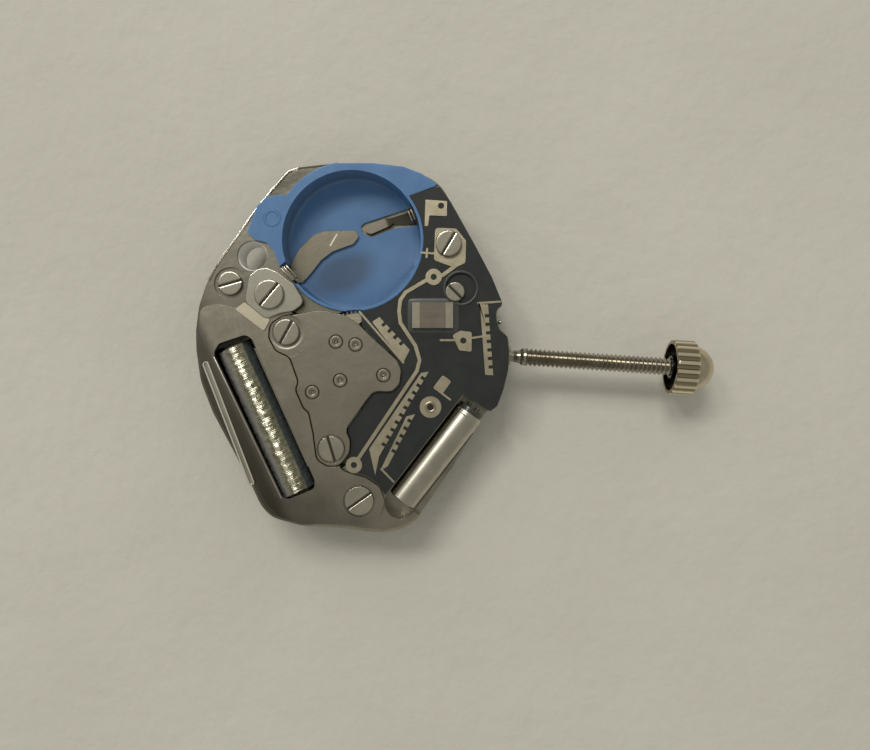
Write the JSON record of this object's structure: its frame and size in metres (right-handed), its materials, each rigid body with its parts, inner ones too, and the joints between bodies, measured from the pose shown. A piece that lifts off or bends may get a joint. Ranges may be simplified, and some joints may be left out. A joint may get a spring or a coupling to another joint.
{
  "type": "quartz watch movement",
  "caption": "Tonneau-like quartz watch movement with open cell well, train bridge, long drive coil, circuit board, crystal can, threaded setting stem and fluted crown.",
  "frame": {"origin": "hand axis at the dial face of the main plate", "axes": "+Z away from the dial, towards the battery side; +X along the setting stem, out to the crown"},
  "size_m": [0.026, 0.0182, 0.0039],
  "materials": {
    "nickel_plate": "nickel plated, satin",
    "steel_cover": "fine brushed",
    "steel_bright": "turned and polished",
    "spring_metal": "rolled strip",
    "blue_plastic": "moulded, satin",
    "board": "dark lacquer",
    "gilt": "thin gilt plating",
    "can": "drawn tin-plated can",
    "glass_base": "dark sealing glass",
    "ceramic_body": "fired ceramic",
    "chip": "resin",
    "copper_wire": "lacquered wire",
    "soft_iron": "annealed sheet",
    "magnet": "sintered",
    "brass_wheel": "cut and gilt",
    "crown_gold": "pale gold plated"
  },
  "bodies": {
    "movement": {"main_plate": "nickel_plate", "dial_side_cover": "steel_cover", "dial_screws": "steel_bright", "battery_insulator": "blue_plastic", "negative_contact": "spring_metal", "positive_contact": "spring_metal", "train_bridge": "steel_cover", "bridge_bushes": "brass_wheel", "coil_cover": "steel_cover", "contact_bridge": "steel_cover", "ground_tab": "spring_metal", "circuit_board": "board", "circuit_spacer": "blue_plastic", "board_tracks": "gilt", "quartz_crystal": "can", "crystal_leads": "glass_base", "chip_capacitor": "ceramic_body", "capacitor_caps": "gilt", "circuit_chip": "chip", "coil_winding": "copper_wire", "coil_core": "soft_iron", "coil_terminals": "board", "stator": "soft_iron", "jumper_spring": "steel_bright", "clamp_screws": "steel_bright", "bridge_screws": "steel_bright", "small_screws": "steel_bright"},
    "rotor": {"rotor_magnet": "magnet", "rotor_pinion": "steel_bright"},
    "intermediate": {"intermediate_wheel": "brass_wheel"},
    "seconds": {"seconds_wheel": "brass_wheel"},
    "third": {"third_wheel": "brass_wheel"},
    "centre": {"centre_wheel": "brass_wheel", "cannon_pinion": "steel_bright"},
    "minute": {"minute_wheel": "brass_wheel"},
    "hour": {"hour_wheel": "brass_wheel"},
    "setting": {"setting_wheel": "steel_bright"},
    "clutch": {"clutch_pinion": "steel_bright"},
    "stem": {"setting_stem": "steel_bright", "crown": "crown_gold"},
    "setting_lever": {"setting_lever": "steel_cover"},
    "yoke": {"yoke": "steel_cover"},
    "stop_lever": {"stop_lever": "steel_cover"}
  },
  "joints": [
    {"name": "seconds_turn", "type": "hinge", "parent": "movement", "child": "seconds", "pos_m": [0, 0, 0], "axis": [0, 0, 1], "continuous": true},
    {"name": "rotor_turn", "type": "hinge", "parent": "movement", "child": "rotor", "pos_m": [-0.00196, -0.00247, 0], "axis": [0, 0, 1], "continuous": true},
    {"name": "intermediate_turn", "type": "hinge", "parent": "movement", "child": "intermediate", "pos_m": [-0.00063, -0.0018, 0], "axis": [0, 0, 1], "continuous": true},
    {"name": "third_turn", "type": "hinge", "parent": "movement", "child": "third", "pos_m": [0.00146, -0.0014, 0], "axis": [0, 0, 1], "continuous": true},
    {"name": "centre_turn", "type": "hinge", "parent": "movement", "child": "centre", "pos_m": [0, 0, 0], "axis": [0, 0, 1], "continuous": true},
    {"name": "minute_turn", "type": "hinge", "parent": "movement", "child": "minute", "pos_m": [0.00148, -0.0006, 0], "axis": [0, 0, 1], "continuous": true},
    {"name": "hour_turn", "type": "hinge", "parent": "movement", "child": "hour", "pos_m": [0, 0, 0], "axis": [0, 0, 1], "continuous": true},
    {"name": "setting_wheel_turn", "type": "hinge", "parent": "movement", "child": "setting", "pos_m": [0.00311, -0.00022, 0], "axis": [0, 0, 1], "continuous": true},
    {"name": "crown_turn", "type": "hinge", "parent": "movement", "child": "clutch", "pos_m": [0.00368, 0, 0.001], "axis": [1, 0, 0], "continuous": true},
    {"name": "stem_pull", "type": "slide", "parent": "clutch", "child": "stem", "axis": [1, 0, 0], "range_m": [0, 0.00045]},
    {"name": "setting_lever_turn", "type": "hinge", "parent": "movement", "child": "setting_lever", "pos_m": [0.00505, -0.00095, 0], "axis": [0, 0, 1], "range_deg": [-27.5, 0]},
    {"name": "yoke_turn", "type": "hinge", "parent": "movement", "child": "yoke", "pos_m": [0.00415, 0.0011, 0], "axis": [0, 0, 1], "range_deg": [-5.5, 0]},
    {"name": "stop_lever_turn", "type": "hinge", "parent": "movement", "child": "stop_lever", "pos_m": [-0.00097, 0.00007, 0], "axis": [0, 0, 1], "range_deg": [0, 10.5]}
  ],
  "couplings": [
    {"joint": "rotor_turn", "follows": "seconds_turn", "ratio": 30},
    {"joint": "intermediate_turn", "follows": "seconds_turn", "ratio": -6.25},
    {"joint": "third_turn", "follows": "seconds_turn", "ratio": -0.066667},
    {"joint": "centre_turn", "follows": "seconds_turn", "ratio": 0.016667},
    {"joint": "minute_turn", "follows": "seconds_turn", "ratio": -0.0055556},
    {"joint": "hour_turn", "follows": "seconds_turn", "ratio": 0.0013889},
    {"joint": "setting_wheel_turn", "follows": "seconds_turn", "ratio": 0.014286},
    {"joint": "setting_lever_turn", "follows": "stem_pull", "rad_per_m": -1052.6},
    {"joint": "yoke_turn", "follows": "stem_pull", "rad_per_m": -200},
    {"joint": "stop_lever_turn", "follows": "stem_pull", "rad_per_m": 388.9}
  ]
}
